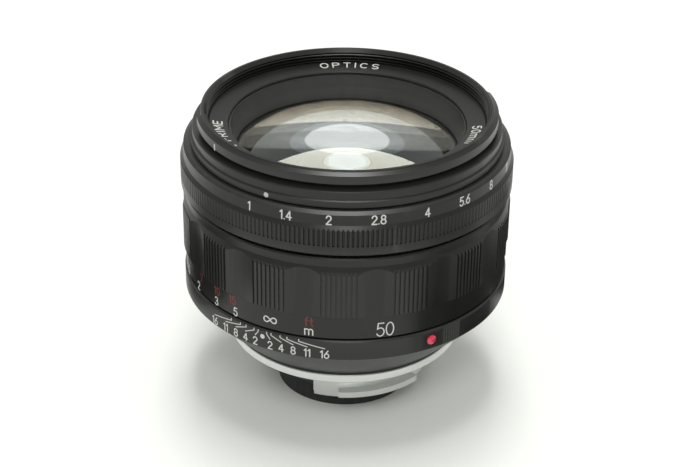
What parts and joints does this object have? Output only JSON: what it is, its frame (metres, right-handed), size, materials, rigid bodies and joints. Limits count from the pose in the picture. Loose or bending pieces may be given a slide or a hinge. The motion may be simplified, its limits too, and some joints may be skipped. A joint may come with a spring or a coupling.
{
  "type": "camera lens",
  "caption": "Fast prime camera lens with a bayonet mount, turning focus and aperture rings, an opening iris and a rangefinder cam.",
  "frame": {"origin": "centre of the mount flange's rear face, on the optical axis", "axes": "+Z along the optical axis to the front of the lens, -Y to the index line that is on top when the lens is mounted"},
  "size_m": [0.0736, 0.0736, 0.0684],
  "materials": {
    "black_anodised": "satin black anodised",
    "black_matte": "matte black",
    "inner_black": "matte black anodised",
    "bright_mount": "satin chrome",
    "steel": "bright",
    "screw_black": "blackened",
    "brass": "machined",
    "cam_black": "blackened",
    "blade_steel": "matte dark",
    "red_bead": "gloss",
    "optical_glass": "polished, coated"
  },
  "bodies": {
    "mount": {"mount_flange": "bright_mount", "mount_screws": "steel", "depth_scale_ring": "black_anodised", "mount_index_bead": "red_bead", "base_barrel": "inner_black", "guide_keys": "brass", "guide_key_screws": "steel", "focus_retaining_ring": "inner_black", "focus_stop_screw": "steel", "scale_ring_screws": "screw_black"},
    "focus": {"focus_grip_ring": "black_anodised", "focus_helicoid": "brass", "focus_ring_screws": "steel"},
    "optics": {"lens_barrel": "inner_black", "filter_ring": "black_anodised", "index_ring": "black_anodised", "index_ring_screws": "screw_black", "name_ring": "black_anodised", "front_bezel": "black_matte", "front_cell": "inner_black", "element_1": "optical_glass", "element_2": "optical_glass", "element_3": "optical_glass", "element_4": "optical_glass", "iris_housing": "inner_black", "iris_cover": "inner_black", "rear_cell": "black_matte", "rear_spacer": "inner_black", "rear_retaining_ring": "black_matte", "element_5": "optical_glass", "element_6": "optical_glass", "element_7": "optical_glass", "element_8": "optical_glass", "element_9": "optical_glass", "click_ball": "steel", "click_spring": "steel"},
    "aperture": {"aperture_ring": "black_anodised", "aperture_drive_screw": "steel", "iris_drive_ring": "brass", "iris_link": "brass"},
    "rangefinder": {"rangefinder_cam": "cam_black"},
    "blade_01_body": {"blade_01": "blade_steel"},
    "blade_02_body": {"blade_02": "blade_steel"},
    "blade_03_body": {"blade_03": "blade_steel"},
    "blade_04_body": {"blade_04": "blade_steel"},
    "blade_05_body": {"blade_05": "blade_steel"},
    "blade_06_body": {"blade_06": "blade_steel"},
    "blade_07_body": {"blade_07": "blade_steel"},
    "blade_08_body": {"blade_08": "blade_steel"},
    "blade_09_body": {"blade_09": "blade_steel"},
    "blade_10_body": {"blade_10": "blade_steel"},
    "blade_11_body": {"blade_11": "blade_steel"},
    "blade_12_body": {"blade_12": "blade_steel"}
  },
  "joints": [
    {"name": "focus_turn", "type": "hinge", "parent": "mount", "child": "focus", "pos_m": [0, 0, 0], "axis": [0, 0, 1], "range_deg": [-2.75, 81.5]},
    {"name": "optics_slide", "type": "slide", "parent": "mount", "child": "optics", "axis": [0, 0, 1], "range_m": [-0.0001, 0.00285]},
    {"name": "rangefinder_slide", "type": "slide", "parent": "mount", "child": "rangefinder", "axis": [0, 0, 1], "range_m": [-0.0001, 0.00303]},
    {"name": "aperture_turn", "type": "hinge", "parent": "optics", "child": "aperture", "pos_m": [0, 0, 0], "axis": [0, 0, 1], "range_deg": [-115.5, 5]},
    {"name": "blade_01_turn", "type": "hinge", "parent": "optics", "child": "blade_01_body", "pos_m": [0, -0.0223, 0.0185], "axis": [0, 0, 1], "range_deg": [-1.53, 34.85]},
    {"name": "blade_02_turn", "type": "hinge", "parent": "optics", "child": "blade_02_body", "pos_m": [0.01115, -0.01931, 0.0185], "axis": [0, 0, 1], "range_deg": [-1.53, 34.85]},
    {"name": "blade_03_turn", "type": "hinge", "parent": "optics", "child": "blade_03_body", "pos_m": [0.01931, -0.01115, 0.0185], "axis": [0, 0, 1], "range_deg": [-1.53, 34.85]},
    {"name": "blade_04_turn", "type": "hinge", "parent": "optics", "child": "blade_04_body", "pos_m": [0.0223, 0, 0.0185], "axis": [0, 0, 1], "range_deg": [-1.53, 34.85]},
    {"name": "blade_05_turn", "type": "hinge", "parent": "optics", "child": "blade_05_body", "pos_m": [0.01931, 0.01115, 0.0185], "axis": [0, 0, 1], "range_deg": [-1.53, 34.85]},
    {"name": "blade_06_turn", "type": "hinge", "parent": "optics", "child": "blade_06_body", "pos_m": [0.01115, 0.01931, 0.0185], "axis": [0, 0, 1], "range_deg": [-1.53, 34.85]},
    {"name": "blade_07_turn", "type": "hinge", "parent": "optics", "child": "blade_07_body", "pos_m": [0, 0.0223, 0.0185], "axis": [0, 0, 1], "range_deg": [-1.53, 34.85]},
    {"name": "blade_08_turn", "type": "hinge", "parent": "optics", "child": "blade_08_body", "pos_m": [-0.01115, 0.01931, 0.0185], "axis": [0, 0, 1], "range_deg": [-1.53, 34.85]},
    {"name": "blade_09_turn", "type": "hinge", "parent": "optics", "child": "blade_09_body", "pos_m": [-0.01931, 0.01115, 0.0185], "axis": [0, 0, 1], "range_deg": [-1.53, 34.85]},
    {"name": "blade_10_turn", "type": "hinge", "parent": "optics", "child": "blade_10_body", "pos_m": [-0.0223, 0, 0.0185], "axis": [0, 0, 1], "range_deg": [-1.53, 34.85]},
    {"name": "blade_11_turn", "type": "hinge", "parent": "optics", "child": "blade_11_body", "pos_m": [-0.01931, -0.01115, 0.0185], "axis": [0, 0, 1], "range_deg": [-1.53, 34.85]},
    {"name": "blade_12_turn", "type": "hinge", "parent": "optics", "child": "blade_12_body", "pos_m": [-0.01115, -0.01931, 0.0185], "axis": [0, 0, 1], "range_deg": [-1.53, 34.85]}
  ],
  "couplings": [
    {"joint": "optics_slide", "follows": "focus_turn", "m_per_rad": 0.002},
    {"joint": "rangefinder_slide", "follows": "focus_turn", "m_per_rad": 0.00213},
    {"joint": "blade_01_turn", "follows": "aperture_turn", "ratio": -0.3016},
    {"joint": "blade_02_turn", "follows": "aperture_turn", "ratio": -0.3016},
    {"joint": "blade_03_turn", "follows": "aperture_turn", "ratio": -0.3016},
    {"joint": "blade_04_turn", "follows": "aperture_turn", "ratio": -0.3016},
    {"joint": "blade_05_turn", "follows": "aperture_turn", "ratio": -0.3016},
    {"joint": "blade_06_turn", "follows": "aperture_turn", "ratio": -0.3016},
    {"joint": "blade_07_turn", "follows": "aperture_turn", "ratio": -0.3016},
    {"joint": "blade_08_turn", "follows": "aperture_turn", "ratio": -0.3016},
    {"joint": "blade_09_turn", "follows": "aperture_turn", "ratio": -0.3016},
    {"joint": "blade_10_turn", "follows": "aperture_turn", "ratio": -0.3016},
    {"joint": "blade_11_turn", "follows": "aperture_turn", "ratio": -0.3016},
    {"joint": "blade_12_turn", "follows": "aperture_turn", "ratio": -0.3016}
  ]
}
